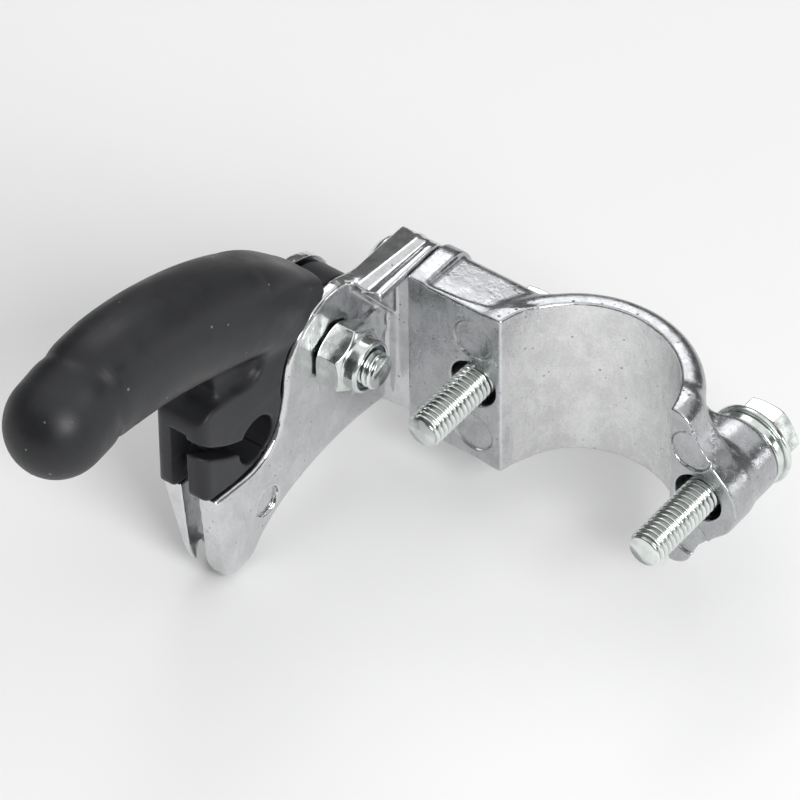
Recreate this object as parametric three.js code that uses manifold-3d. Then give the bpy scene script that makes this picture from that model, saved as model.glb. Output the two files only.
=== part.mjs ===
// Tube-mounted hand lever: a half-round saddle with two clamp bolts, a forked perch screwed to its
// left end, and a moulded lever that pivots in the fork and pulls a Bowden cable.
// Millimetres. Z is the tube's axis. The clamp bolts lie along Y, on the X axis. Y = 0 is the plane
// where the saddle would meet its other half, and the origin is midway between the bolts.
import * as THREE from "three";
import { mergeVertices } from "three/addons/utils/BufferGeometryUtils.js";
import Module from "manifold-3d";

const wasm = await Module();
wasm.setup();

// ---- Driving dimensions -------------------------------------------------------------------------
const CLEARANCE = 0.1; // between pieces that rest on each other

const TUBE_RADIUS = 15.9; // a 31.8 mm tube
const TUBE_CENTRE_Y = -2.4; // the tube stands a little proud of the split plane
const RING_WALL = 3.8;
const RING_HALF_HEIGHT = 15.4;
const BOLT_X = 21;
const BOLT_HOLE_RADIUS = 4.2;

const LEFT_LUG_END_X = -33.3;
const LEFT_LUG_DEPTH = 12.2;
const LEFT_LUG_HALF_HEIGHT = 16;
const LUG_RIM = 2.8; // full-height rim at the perch's end of the left lug
const LUG_SINK = 1.1; // how far the rest of the lug lies below that rim
const RIGHT_BOSS_DEPTH = 12.2;
const RIGHT_FLARE_DEPTH = 6;
const RIGHT_BOSS_RADIUS = 6.9;

const M6 = { radius: 3, flange: 7.1, flangeThick: 1.3, across: 10, headHeight: 5.2, washerOuter: 6.5 };
const CLAMP_WASHER_THICK = 1.6;
const LEFT_BOLT_LENGTH = 27;
const RIGHT_BOLT_LENGTH = 28;

const PIVOT_Y = -11.5;
const PIVOT_Z = 6.4;
const FORK_NEAR_X = -38.6;
const FORK_FAR_X = -50;
const CHEEK = 2.3; // thickness of each side of the fork
const EYE_RADIUS = 11.7;
const HUB_RADIUS = 11;
const HUB_CLEARANCE = 0.4;
const WEB_THICK = 2.4; // wall behind the hub, between the two cheeks
const WEB_TOP = 0.05; // radians above the pivot at which that wall ends

const PLATE_THICK = 7.5; // the perch's plate against the saddle
const PLATE_NEAR_X = LEFT_LUG_END_X - CLEARANCE;
const PLATE_FAR_X = PLATE_NEAR_X - PLATE_THICK;
const PLATE_FRONT_Y = 1.8;
const PLATE_BACK_Y = 10.2;
const PLATE_TOP = 17;
const PLATE_BOTTOM = -14.9;
const LIP_Y = -6.8; // the plate's top reaches forward over the fork to here
const LIP_THICK = 1.8;
const GUSSET_NEAR_X = -36.8; // the lip is carried by a gusset from here to the fork
const FORK_BACK_Y = 1.2;
const NOSE_END_Z = -24.5;

const M5 = { radius: 2.5, head: 4.4, headHeight: 2.8, washerOuter: 4.9, washerThick: 1 };
const PERCH_SCREW_Y = 6.4;
const PERCH_SCREW_Z = 9.2;
const PERCH_SCREW_LENGTH = 16;

const CABLE_SLOT = 3.2;
const FORK_MID_X = (FORK_NEAR_X + FORK_FAR_X) / 2;
const LEVER_NEAR_X = -39.5;
const LEVER_FAR_X = 2 * FORK_MID_X - LEVER_NEAR_X;
const HUB_HALF = (FORK_NEAR_X - FORK_FAR_X) / 2 - CHEEK - 0.55;
const NIPPLE_Y = -30.1;
const NIPPLE_Z = 1.2;
const NIPPLE_RADIUS = 4.1;
const GROOVE = 3;
const GRIP_HALF_WIDTH = 7.6;

const LOCK_NUT = { across: 10, hexHeight: 4.5, collarRadius: 4.4, collarHeight: 2.6 };
const PIVOT_TIP_X = -29.7;

// ---- Solids -------------------------------------------------------------------------------------
function solid(geometry) {
  const bare = geometry.clone();
  bare.deleteAttribute("normal");
  bare.deleteAttribute("uv");
  const merged = mergeVertices(bare, 1e-4);
  return new wasm.Manifold(
    new wasm.Mesh({
      numProp: 3,
      vertProperties: merged.attributes.position.array,
      triVerts: new Uint32Array(merged.index.array),
    }),
  );
}

function geometryOf(body) {
  const mesh = body.getMesh();
  const geometry = new THREE.BufferGeometry();
  geometry.setAttribute("position", new THREE.BufferAttribute(mesh.vertProperties, 3));
  geometry.setIndex(new THREE.BufferAttribute(mesh.triVerts, 1));
  return geometry;
}

const union = (...bodies) => bodies.reduce((all, next) => all.add(next));
const cut = (body, ...tools) => tools.reduce((rest, tool) => rest.subtract(tool), body);

function box(x0, x1, y0, y1, z0, z1) {
  const geometry = new THREE.BoxGeometry(x1 - x0, y1 - y0, z1 - z0);
  geometry.translate((x0 + x1) / 2, (y0 + y1) / 2, (z0 + z1) / 2);
  return solid(geometry);
}

// A cylinder along X or Y.
function rodX(radius, x0, x1, y, z, sides = 40) {
  const geometry = new THREE.CylinderGeometry(radius, radius, x1 - x0, sides);
  geometry.rotateZ(Math.PI / 2);
  geometry.translate((x0 + x1) / 2, y, z);
  return solid(geometry);
}

function rodY(radius, y0, y1, x, z, sides = 40) {
  const geometry = new THREE.CylinderGeometry(radius, radius, y1 - y0, sides);
  geometry.translate(x, (y0 + y1) / 2, z);
  return solid(geometry);
}

// An outline drawn in Y and Z, extruded along X.
function prismX(shape, x0, x1, curveSegments = 16) {
  const geometry = new THREE.ExtrudeGeometry(shape, { depth: x1 - x0, bevelEnabled: false, curveSegments });
  const turn = new THREE.Matrix4().makeBasis(
    new THREE.Vector3(0, 1, 0),
    new THREE.Vector3(0, 0, 1),
    new THREE.Vector3(1, 0, 0),
  );
  geometry.applyMatrix4(turn);
  geometry.translate(x0, 0, 0);
  return solid(geometry);
}

// An outline drawn in X and Z, extruded along Y.
function prismY(shape, y0, y1, curveSegments = 16) {
  const geometry = new THREE.ExtrudeGeometry(shape, { depth: y1 - y0, bevelEnabled: false, curveSegments });
  geometry.rotateX(Math.PI / 2);
  geometry.translate(0, y1, 0);
  return solid(geometry);
}

// A turned part: a profile of [radius, height] points that starts and ends on the axis, in either
// direction. Its faces point outwards when the profile rises.
function turned(profile, sides) {
  const points = profile.map(([r, h]) => new THREE.Vector2(r, h));
  const rises = points.at(-1).y >= points[0].y;
  return new THREE.LatheGeometry(rises ? points : points.reverse(), sides);
}

function polygon(points) {
  return new THREE.Shape(points.map(([a, b]) => new THREE.Vector2(a, b)));
}

function hexagon(across, turn = 0) {
  const corner = across / Math.sqrt(3);
  const corners = [0, 1, 2, 3, 4, 5].map((i) => turn + (i * Math.PI) / 3);
  return polygon(corners.map((angle) => [corner * Math.cos(angle), corner * Math.sin(angle)]));
}

const SADDLE_METAL = { color: 0xb9bbbd, roughness: 0.42, metalness: 1 };
const PERCH_METAL = { color: 0xc9cacc, roughness: 0.3, metalness: 1 };
const ZINC = { color: 0xc7cfca, roughness: 0.25, metalness: 1 };
const BLACK_PLASTIC = { color: 0x1c1d1f, roughness: 0.5, metalness: 0 };
const NYLON = { color: 0x8fa3b5, roughness: 0.5, metalness: 0 };
const STEEL = { color: 0x9a9c9e, roughness: 0.35, metalness: 1 };

const pipeClamp = new THREE.Group();

function add(name, geometry, finish, parent = pipeClamp) {
  const mesh = new THREE.Mesh(geometry, new THREE.MeshStandardMaterial(finish));
  mesh.name = name;
  parent.add(mesh);
  return mesh;
}

// ---- Saddle casting -----------------------------------------------------------------------------
function tubeRing() {
  const outer = TUBE_RADIUS + RING_WALL;
  const edge = 2;
  const top = RING_HALF_HEIGHT;
  const profile = [
    [TUBE_RADIUS, -top],
    [outer - edge, -top],
    [outer - edge * 0.3, -top + edge * 0.3],
    [outer, -top + edge],
    [outer, top - edge],
    [outer - edge * 0.3, top - edge * 0.3],
    [outer - edge, top],
    [TUBE_RADIUS, top],
    [TUBE_RADIUS, -top],
  ];
  const ring = turned(profile, 72);
  ring.rotateX(Math.PI / 2);
  ring.translate(0, TUBE_CENTRE_Y, 0);
  return cut(solid(ring), box(-40, 40, -40, 0, -40, 40));
}

function tubeSpace() {
  const geometry = new THREE.CylinderGeometry(TUBE_RADIUS, TUBE_RADIUS, 60, 72);
  geometry.rotateX(Math.PI / 2);
  geometry.translate(0, TUBE_CENTRE_Y, 0);
  return solid(geometry);
}

// Side outline of a block whose back corners are rounded.
function roundBackedBlock(front, back, bottom, top, radius) {
  const shape = new THREE.Shape();
  shape.moveTo(front, bottom);
  shape.lineTo(back - radius, bottom);
  shape.absarc(back - radius, bottom + radius, radius, -Math.PI / 2, 0, false);
  shape.lineTo(back, top - radius);
  shape.absarc(back - radius, top - radius, radius, 0, Math.PI / 2, false);
  shape.lineTo(front, top);
  shape.closePath();
  return shape;
}

function leftLug() {
  const high = LEFT_LUG_HALF_HEIGHT;
  const low = high - LUG_SINK;
  const rim = roundBackedBlock(0, LEFT_LUG_DEPTH, -high, high, 5);
  const web = roundBackedBlock(0, LEFT_LUG_DEPTH, -low, low, 5);
  return union(
    prismX(rim, LEFT_LUG_END_X, LEFT_LUG_END_X + LUG_RIM),
    prismX(web, LEFT_LUG_END_X + LUG_RIM - 1, -13),
  );
}

function rightLug() {
  const shape = new THREE.Shape();
  const start = -0.85;
  shape.moveTo(12, -RING_HALF_HEIGHT);
  shape.lineTo(16.5, -RING_HALF_HEIGHT);
  shape.quadraticCurveTo(19.5, -12, 23.2, -7.4);
  shape.lineTo(BOLT_X - 1 + 7 * Math.cos(start), 7 * Math.sin(start));
  shape.absarc(BOLT_X - 1, 0, 7, start, -start, false);
  shape.lineTo(23.2, 7.4);
  shape.quadraticCurveTo(19.5, 12, 16.5, RING_HALF_HEIGHT);
  shape.lineTo(12, RING_HALF_HEIGHT);
  shape.closePath();
  return union(
    prismY(shape, 0, RIGHT_FLARE_DEPTH),
    rodY(RIGHT_BOSS_RADIUS, 0, RIGHT_BOSS_DEPTH, BOLT_X - 0.6, 0),
    box(14, BOLT_X, 0, RIGHT_BOSS_DEPTH, -RIGHT_BOSS_RADIUS + 0.3, RIGHT_BOSS_RADIUS - 0.3),
  );
}

function perchScrewHoles(radius, x0, x1) {
  return [PERCH_SCREW_Z, -PERCH_SCREW_Z].map((z) => rodX(radius, x0, x1, PERCH_SCREW_Y, z, 24));
}

function saddleCasting() {
  const screwReach = LEFT_LUG_END_X + PERCH_SCREW_LENGTH - PLATE_THICK - M5.washerThick;
  return cut(
    union(tubeRing(), leftLug(), rightLug()),
    tubeSpace(),
    rodY(BOLT_HOLE_RADIUS, -1, 20, -BOLT_X, 0),
    rodY(BOLT_HOLE_RADIUS, -1, 20, BOLT_X, 0),
    ...perchScrewHoles(M5.radius + 0.05, LEFT_LUG_END_X - 1, screwReach + 0.8),
  );
}

// ---- Perch casting ------------------------------------------------------------------------------
// A ring segment about the pivot, drawn in Y and Z.
function ringSegment(inner, outer, from, to) {
  const shape = new THREE.Shape();
  shape.absarc(PIVOT_Y, PIVOT_Z, outer, from, to, false);
  shape.absarc(PIVOT_Y, PIVOT_Z, inner, to, from, true);
  shape.closePath();
  return shape;
}

// Side outline of the plate: with the gusset under its lip, or with the lip alone.
function plateOutline(withGusset) {
  const shape = new THREE.Shape();
  const corner = 4.5;
  shape.moveTo(PLATE_FRONT_Y, PLATE_BOTTOM);
  shape.lineTo(PLATE_BACK_Y - corner, PLATE_BOTTOM);
  shape.absarc(PLATE_BACK_Y - corner, PLATE_BOTTOM + corner, corner, -Math.PI / 2, 0, false);
  shape.lineTo(PLATE_BACK_Y, PLATE_TOP - corner);
  shape.absarc(PLATE_BACK_Y - corner, PLATE_TOP - corner, corner, 0, Math.PI / 2, false);
  shape.lineTo(LIP_Y, PLATE_TOP);
  shape.lineTo(LIP_Y + 0.3, PLATE_TOP - LIP_THICK);
  if (withGusset) shape.quadraticCurveTo(-1.5, 8.5, PLATE_FRONT_Y, 4.5);
  else shape.lineTo(PLATE_FRONT_Y, PLATE_TOP - LIP_THICK);
  shape.closePath();
  return shape;
}

// Side outline of the fork: eye at the top, cable nose at the front.
function forkOutline() {
  const shape = new THREE.Shape();
  shape.moveTo(PLATE_FRONT_Y + 2, PLATE_BOTTOM);
  shape.quadraticCurveTo(-9, -11.8, -20, -14.6);
  shape.quadraticCurveTo(-26.8, -16.4, -30, -20.2);
  shape.quadraticCurveTo(-31.9, -24.7, -34.8, -24.3);
  shape.quadraticCurveTo(-38.8, -23.2, -39.6, -17.6);
  shape.lineTo(-41, -3.4);
  shape.lineTo(-33, -4.3);
  shape.quadraticCurveTo(-24.6, -4.6, PIVOT_Y - EYE_RADIUS, PIVOT_Z);
  shape.absarc(PIVOT_Y, PIVOT_Z, EYE_RADIUS, Math.PI, 0, true);
  shape.lineTo(PLATE_FRONT_Y + 2, 0);
  shape.closePath();
  return shape;
}

// The nose narrows towards its lower end, more on the far side, and its end is rounded.
function noseTaper() {
  const spare = 0.1;
  const shape = polygon([
    [FORK_FAR_X - spare, 30],
    [FORK_FAR_X - spare, -3],
    [FORK_FAR_X + 1.6, -13],
    [FORK_FAR_X + 2.9, -20],
    [FORK_FAR_X + 3.5, -23.2],
    [FORK_FAR_X + 4.8, NOSE_END_Z],
    [FORK_NEAR_X - 2.2, NOSE_END_Z],
    [FORK_NEAR_X - 1.2, -23.4],
    [FORK_NEAR_X - 0.6, -19.6],
    [FORK_NEAR_X + spare, -12],
    [FORK_NEAR_X + spare, 30],
  ]);
  return prismY(shape, -60, 20, 1);
}

function perchCasting() {
  const webOuter = HUB_RADIUS + HUB_CLEARANCE + WEB_THICK;
  const slotNear = FORK_NEAR_X - CHEEK;
  const slotFar = FORK_FAR_X + CHEEK;
  const web = cut(
    prismX(ringSegment(EYE_RADIUS - 1, webOuter, -1.2, WEB_TOP), FORK_FAR_X + 0.8, FORK_NEAR_X),
    box(FORK_FAR_X, FORK_NEAR_X + 1, -20, 20, PLATE_TOP, 30),
  );
  const fork = cut(
    union(prismX(forkOutline(), FORK_FAR_X, FORK_NEAR_X, 28).intersect(noseTaper()), web),
    box(FORK_FAR_X - 1, PLATE_FAR_X, FORK_BACK_Y, 20, -30, 30),
  );
  return cut(
    union(
      fork,
      prismX(plateOutline(true), PLATE_FAR_X, GUSSET_NEAR_X),
      prismX(plateOutline(false), GUSSET_NEAR_X - 0.5, PLATE_NEAR_X),
    ),
    rodX(HUB_RADIUS + HUB_CLEARANCE, slotFar, slotNear, PIVOT_Y, PIVOT_Z, 72),
    box(slotFar, slotNear, -40, PIVOT_Y - 5, PIVOT_Z - 7, PIVOT_Z + 14),
    box(slotFar, slotNear, -40, PLATE_FRONT_Y, PIVOT_Z + 1, PIVOT_Z + 14),
    box(FORK_MID_X - CABLE_SLOT / 2, FORK_MID_X + CABLE_SLOT / 2, -46, -35.6, -30, 0),
    rodX(M6.radius + 0.15, FORK_FAR_X - 1, FORK_NEAR_X + 1, PIVOT_Y, PIVOT_Z, 32),
    ...perchScrewHoles(M5.radius + 0.2, PLATE_FAR_X - 1, PLATE_NEAR_X + 1),
  );
}

// ---- Lever --------------------------------------------------------------------------------------
// The grip: closed rings of points round a curved centre line, capped by a dome at the free end.
function gripGeometry() {
  const stations = [
    // [Y, Z, half height, half width]
    [-14.5, 16, 3.6, 4.6],
    [-18, 19.3, 5.4, 6],
    [-23, 22.5, 7.3, 7.2],
    [-30, 26.2, 8.2, GRIP_HALF_WIDTH],
    [-38, 29.5, 8.7, GRIP_HALF_WIDTH],
    [-46, 32.3, 8.9, GRIP_HALF_WIDTH],
    [-54, 34.2, 9, GRIP_HALF_WIDTH],
    [-62, 35, 8.8, GRIP_HALF_WIDTH],
    [-70.6, 33.9, 8.4, 8],
  ];
  const centre = new THREE.CatmullRomCurve3(
    stations.map(([y, z]) => new THREE.Vector3(FORK_MID_X, y, z)),
  );
  const rings = 30;
  const around = 28;
  const domeRings = 7;
  const positions = [];
  const along = new THREE.Vector3(1, 0, 0);
  function ring(place, forward, halfHeight, halfWidth) {
    const up = new THREE.Vector3().crossVectors(forward, along);
    for (let j = 0; j < around; j += 1) {
      const angle = (j / around) * 2 * Math.PI;
      const side = halfWidth * Math.cos(angle);
      const rise = halfHeight * Math.sin(angle);
      positions.push(place.x + side, place.y + up.y * rise, place.z + up.z * rise);
    }
  }
  for (let i = 0; i <= rings; i += 1) {
    const t = i / rings;
    const s = t * (stations.length - 1);
    const k = Math.min(Math.floor(s), stations.length - 2);
    const blend = s - k;
    const half = stations[k].map((value, n) => value + (stations[k + 1][n] - value) * blend);
    ring(centre.getPoint(t), centre.getTangent(t), half[2], half[3]);
  }
  const tip = centre.getPoint(1);
  const forward = centre.getTangent(1);
  const last = stations[stations.length - 1];
  for (let i = 1; i < domeRings; i += 1) {
    const turn = (i / domeRings) * (Math.PI / 2);
    const place = tip.clone().addScaledVector(forward, last[2] * Math.sin(turn));
    ring(place, forward, last[2] * Math.cos(turn), last[3] * Math.cos(turn));
  }
  const rows = positions.length / 3 / around;
  const start = centre.getPoint(0);
  const end = tip.clone().addScaledVector(forward, last[2]);
  positions.push(start.x, start.y, start.z, end.x, end.y, end.z);
  const index = [];
  for (let i = 0; i < rows - 1; i += 1) {
    for (let j = 0; j < around; j += 1) {
      const a = i * around + j;
      const b = i * around + ((j + 1) % around);
      index.push(a, b, a + around, b, b + around, a + around);
    }
  }
  const first = rows * around;
  for (let j = 0; j < around; j += 1) {
    const next = (j + 1) % around;
    index.push(first, next, j);
    index.push(first + 1, (rows - 1) * around + j, (rows - 1) * around + next);
  }
  const geometry = new THREE.BufferGeometry();
  geometry.setAttribute("position", new THREE.Float32BufferAttribute(positions, 3));
  geometry.setIndex(index);
  return geometry;
}

function blockOutline() {
  const shape = new THREE.Shape();
  shape.moveTo(-36, -3.7);
  shape.lineTo(-41.4, -2.8);
  shape.quadraticCurveTo(-43.2, -2.4, -43.2, -0.4);
  shape.lineTo(-43.2, 13.4);
  shape.quadraticCurveTo(-43.2, 15.2, -41.4, 15);
  shape.lineTo(-35, 13.4);
  shape.quadraticCurveTo(-27.4, 10.6, -27.2, 18.5);
  shape.lineTo(-21, 19.4);
  shape.absarc(PIVOT_Y, PIVOT_Z, EYE_RADIUS + 0.5, 2.35, Math.PI, false);
  shape.quadraticCurveTo(-24.9, -3.9, -33, -3.7);
  shape.closePath();
  return shape;
}

function webOutline() {
  return polygon([
    [-13, 12],
    [-11.5, 17.2],
    [-20, 24],
    [-34, 30],
    [-42, 30],
    [-40, 16],
    [-36, 8],
    [-18, 8],
  ]);
}

function nipplePath() {
  const centre = new THREE.Shape();
  const half = 1.65;
  centre.moveTo(NIPPLE_Y, NIPPLE_Z - half);
  centre.lineTo(NIPPLE_Y, NIPPLE_Z + half);
  centre.quadraticCurveTo(-37, 3.6, -45, 10.4 + half);
  centre.lineTo(-45, 10.4 - half);
  centre.quadraticCurveTo(-36, 1.2, NIPPLE_Y, NIPPLE_Z - half);
  centre.closePath();
  return centre;
}

function leverMoulding() {
  const body = union(
    rodX(HUB_RADIUS, FORK_MID_X - HUB_HALF, FORK_MID_X + HUB_HALF, PIVOT_Y, PIVOT_Z, 72),
    prismX(webOutline(), FORK_MID_X - HUB_HALF, FORK_MID_X + HUB_HALF),
    prismX(blockOutline(), LEVER_FAR_X, LEVER_NEAR_X),
    solid(gripGeometry()),
  );
  const shoulder = EYE_RADIUS + 0.4;
  return cut(
    body,
    rodX(shoulder, FORK_FAR_X - 5, FORK_MID_X - HUB_HALF, PIVOT_Y, PIVOT_Z, 72),
    rodX(shoulder, FORK_MID_X + HUB_HALF, FORK_NEAR_X + 5, PIVOT_Y, PIVOT_Z, 72),
    rodX(3.95, FORK_FAR_X, FORK_NEAR_X, PIVOT_Y, PIVOT_Z, 32),
    rodX(NIPPLE_RADIUS, LEVER_FAR_X + 1.2, LEVER_NEAR_X + 1, NIPPLE_Y, NIPPLE_Z, 36),
    prismX(nipplePath(), FORK_MID_X, LEVER_NEAR_X + 1),
    box(FORK_MID_X - GROOVE / 2, FORK_MID_X + GROOVE / 2, -45, NIPPLE_Y - 2, -6, 3),
    box(FORK_MID_X - GROOVE / 2, FORK_MID_X + GROOVE / 2, -45, -38, -6, 10.6),
  );
}

// ---- Fasteners ----------------------------------------------------------------------------------
// A hexagon flange bolt along +Y: its tip at y = 0 and the underside of its flange at y = length.
function flangeBolt(length) {
  const chamfer = 0.6;
  const shank = turned(
    [
      [0, 0],
      [M6.radius - chamfer, 0],
      [M6.radius, chamfer],
      [M6.radius, length],
      [M6.flange, length],
      [M6.flange, length + M6.flangeThick * 0.7],
      [M6.across / 2, length + M6.flangeThick + 0.6],
      [0, length + M6.flangeThick + 0.6],
    ],
    40,
  );
  const hex = prismY(hexagon(M6.across), length + 0.4, length + M6.headHeight, 1);
  const domeRadius = M6.across / Math.sqrt(3);
  const limit = turned(
    [
      [0, length],
      [domeRadius + 0.1, length],
      [domeRadius + 0.1, length + M6.headHeight - 0.9],
      [M6.across / 2 - 0.3, length + M6.headHeight],
      [0, length + M6.headHeight],
    ],
    36,
  );
  return union(solid(shank), hex.intersect(solid(limit)));
}

function ringY(inner, outer, thick) {
  return cut(rodY(outer, 0, thick, 0, 0), rodY(inner, -1, thick + 1, 0, 0, 32));
}

function addClampBolt(side, x, lugDepth, length) {
  const seat = lugDepth + 0.05;
  const holder = new THREE.Group();
  holder.position.set(x, 0, 0);
  pipeClamp.add(holder);
  const washer = add(`clamp_washer_${side}`, geometryOf(ringY(3.2, M6.washerOuter, CLAMP_WASHER_THICK)), ZINC, holder);
  washer.position.y = seat;
  const bolt = add(`clamp_bolt_${side}`, geometryOf(flangeBolt(length)), ZINC, holder);
  bolt.position.y = seat + CLAMP_WASHER_THICK + 0.05 - length;
}

function addPerchScrew(place, z) {
  const holder = new THREE.Group();
  holder.position.set(PLATE_FAR_X, PERCH_SCREW_Y, z);
  pipeClamp.add(holder);
  const ring = cut(
    rodX(M5.washerOuter, -M5.washerThick - 0.05, -0.05, 0, 0),
    rodX(M5.radius + 0.15, -3, 1, 0, 0, 24),
  );
  add(`perch_washer_${place}`, geometryOf(ring), ZINC, holder);
  const under = -M5.washerThick - CLEARANCE;
  const profile = [
    [0, under + PERCH_SCREW_LENGTH],
    [M5.radius - 0.7, under + PERCH_SCREW_LENGTH],
    [M5.radius, under + PERCH_SCREW_LENGTH - 0.7],
    [M5.radius, under],
    [M5.head, under],
    [M5.head, under - 0.6],
    [M5.head * 0.72, under - M5.headHeight * 0.9],
    [M5.head * 0.5, under - M5.headHeight],
    [0, under - M5.headHeight],
  ];
  const screw = turned(profile, 32);
  screw.rotateZ(-Math.PI / 2);
  const socket = hexagon(3);
  const drive = prismX(socket, under - M5.headHeight - 1, under - 1.1, 1);
  add(`perch_screw_${place}`, geometryOf(cut(solid(screw), drive)), ZINC, holder);
}

// The pivot: a bolt through the fork from the far side, a bush that the hub turns on, and a lock nut.
function addPivot() {
  const pivot = new THREE.Group();
  pivot.position.set(0, PIVOT_Y, PIVOT_Z);
  pipeClamp.add(pivot);
  const head = M6.across / 2;
  const under = FORK_FAR_X - 0.05;
  const shank = turned(
    [
      [0, PIVOT_TIP_X],
      [M6.radius - 0.7, PIVOT_TIP_X],
      [M6.radius, PIVOT_TIP_X - 0.7],
      [M6.radius, under - 0.5],
      [0, under - 0.5],
    ],
    36,
  );
  shank.rotateZ(-Math.PI / 2);
  const hex = prismX(hexagon(M6.across), under - 4, under, 1);
  const limit = turned(
    [
      [0, under],
      [head * 1.16, under],
      [head * 1.16, under - 3.4],
      [head * 0.95, under - 4],
      [0, under - 4],
    ],
    36,
  );
  limit.rotateZ(-Math.PI / 2);
  add("pivot_bolt", geometryOf(union(solid(shank), hex.intersect(solid(limit)))), ZINC, pivot);

  const gap = 0.05;
  const bush = cut(
    rodX(3.85, FORK_FAR_X + CHEEK + gap, FORK_NEAR_X - CHEEK - gap, 0, 0),
    rodX(M6.radius + 0.1, -60, -30, 0, 0, 36),
  );
  add("pivot_bush", geometryOf(bush), STEEL, pivot);

  const seat = FORK_NEAR_X + gap;
  const bodyTop = seat + LOCK_NUT.hexHeight;
  const insertStart = bodyTop + 0.6;
  const outside = turned(
    [
      [0, seat],
      [LOCK_NUT.across / 2 - 0.1, seat],
      [5.8, seat + 0.5],
      [5.8, bodyTop - 0.8],
      [LOCK_NUT.across / 2 - 0.2, bodyTop],
      [0, bodyTop],
    ],
    36,
  );
  outside.rotateZ(-Math.PI / 2);
  const body = prismX(hexagon(LOCK_NUT.across, Math.PI / 6), seat, bodyTop, 1).intersect(solid(outside));
  const nut = cut(
    union(body, rodX(LOCK_NUT.collarRadius, bodyTop - 0.5, bodyTop + LOCK_NUT.collarHeight, 0, 0)),
    rodX(M6.radius + 0.05, seat - 1, bodyTop + 5, 0, 0, 36),
    rodX(LOCK_NUT.collarRadius - 0.6, insertStart, bodyTop + 5, 0, 0),
  );
  add("lock_nut", geometryOf(nut), ZINC, pivot);
  const insert = cut(
    rodX(LOCK_NUT.collarRadius - 0.7, insertStart + gap, bodyTop + LOCK_NUT.collarHeight - 0.5, 0, 0),
    rodX(M6.radius + 0.05, seat - 1, bodyTop + 5, 0, 0, 36),
  );
  add("lock_nut_insert", geometryOf(insert), NYLON, pivot);
}

// ---- The assembly -------------------------------------------------------------------------------
add("saddle_casting", geometryOf(saddleCasting()), SADDLE_METAL);
add("perch_casting", geometryOf(perchCasting()), PERCH_METAL);
add("lever_moulding", geometryOf(leverMoulding()), BLACK_PLASTIC);
addPivot();
addClampBolt("left", -BOLT_X, LEFT_LUG_DEPTH, LEFT_BOLT_LENGTH);
addClampBolt("right", BOLT_X, RIGHT_BOSS_DEPTH, RIGHT_BOLT_LENGTH);
addPerchScrew("upper", PERCH_SCREW_Z);
addPerchScrew("lower", -PERCH_SCREW_Z);

export default pipeClamp;
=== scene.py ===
"""Finished pieces and a stage for a tube-mounted hand lever, laid out as an add-on.

The castings, the moulded lever and the fasteners are drawn as distance fields in millimetres and
meshed from those, so that every edge has the small radius of the real process.
"""
import math

import bpy
import numpy as np
from mathutils import Matrix, Vector


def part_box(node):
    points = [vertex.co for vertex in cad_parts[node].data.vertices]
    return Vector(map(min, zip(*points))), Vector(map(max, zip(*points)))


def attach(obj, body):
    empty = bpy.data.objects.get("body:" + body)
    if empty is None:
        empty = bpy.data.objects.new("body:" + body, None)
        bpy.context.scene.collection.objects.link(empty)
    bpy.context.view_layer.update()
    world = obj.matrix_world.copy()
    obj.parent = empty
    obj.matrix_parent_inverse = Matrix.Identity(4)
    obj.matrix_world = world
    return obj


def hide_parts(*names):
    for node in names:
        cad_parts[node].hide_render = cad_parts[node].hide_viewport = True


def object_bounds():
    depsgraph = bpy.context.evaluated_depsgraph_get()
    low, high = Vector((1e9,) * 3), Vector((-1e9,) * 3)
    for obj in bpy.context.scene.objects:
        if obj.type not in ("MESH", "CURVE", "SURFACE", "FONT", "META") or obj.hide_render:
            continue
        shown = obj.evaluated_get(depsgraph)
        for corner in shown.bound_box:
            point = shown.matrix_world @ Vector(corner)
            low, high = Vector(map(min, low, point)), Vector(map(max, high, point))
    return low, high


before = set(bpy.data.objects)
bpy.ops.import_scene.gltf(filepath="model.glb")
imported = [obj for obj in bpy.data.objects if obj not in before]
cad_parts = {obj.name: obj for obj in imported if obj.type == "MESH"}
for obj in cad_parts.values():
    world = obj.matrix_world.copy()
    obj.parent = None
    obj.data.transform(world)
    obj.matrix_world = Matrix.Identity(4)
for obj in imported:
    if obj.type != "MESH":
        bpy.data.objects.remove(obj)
CAD_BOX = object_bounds()

bl_info = {
    "name": "Tube-mounted hand lever",
    "version": (1, 0, 0),
    "blender": (4, 5, 0),
    "location": "3D View > Sidebar > Hand lever",
    "description": "Builds the finished pieces of a tube-mounted hand lever and its stage",
    "category": "Object",
}

MM = 0.001
X, Y, Z = 0, 1, 2

# ---- Dimensions in millimetres, as in the CAD ---------------------------------------------------
TUBE_RADIUS = 15.9
TUBE_CENTRE_Y = -2.4
RING_OUTER = 19.7
RING_HALF_HEIGHT = 15.4
BOLT_X = 21.0
BOLT_HOLE = 4.2
LUG_END_X = -33.3
LUG_DEPTH = 12.2
BOSS_DEPTH = 12.2
BOSS_RADIUS = 6.9

PIVOT = (-11.5, 6.4)  # Y and Z of the lever's pivot
FORK_NEAR_X = -38.6
FORK_FAR_X = -50.0
FORK_MID_X = (FORK_NEAR_X + FORK_FAR_X) / 2
CHEEK = 2.3
EYE_RADIUS = 11.7
HUB_RADIUS = 11.0
HUB_HALF = 2.85
SLOT = (FORK_FAR_X + CHEEK, FORK_NEAR_X - CHEEK)
PLATE_X = (-40.9, -33.4)
PLATE_Y = (1.8, 10.2)
PLATE_Z = (-14.9, 17.0)
LIP_Y = -6.8
PERCH_SCREW_Y = 6.4
PERCH_SCREW_Z = 9.2

NIPPLE = (-30.1, 1.2)  # Y and Z of the cable nipple's bore
NIPPLE_RADIUS = 4.1
LEVER_X = (-49.1, -39.5)

M6_RADIUS = 3.0
M6_ACROSS = 10.0
M6_HEAD = 5.2
M6_FLANGE = 7.1
NUT_COLLAR = 2.6
WASHER_OUTER = 6.5
PIVOT_TIP_X = -29.7

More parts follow.
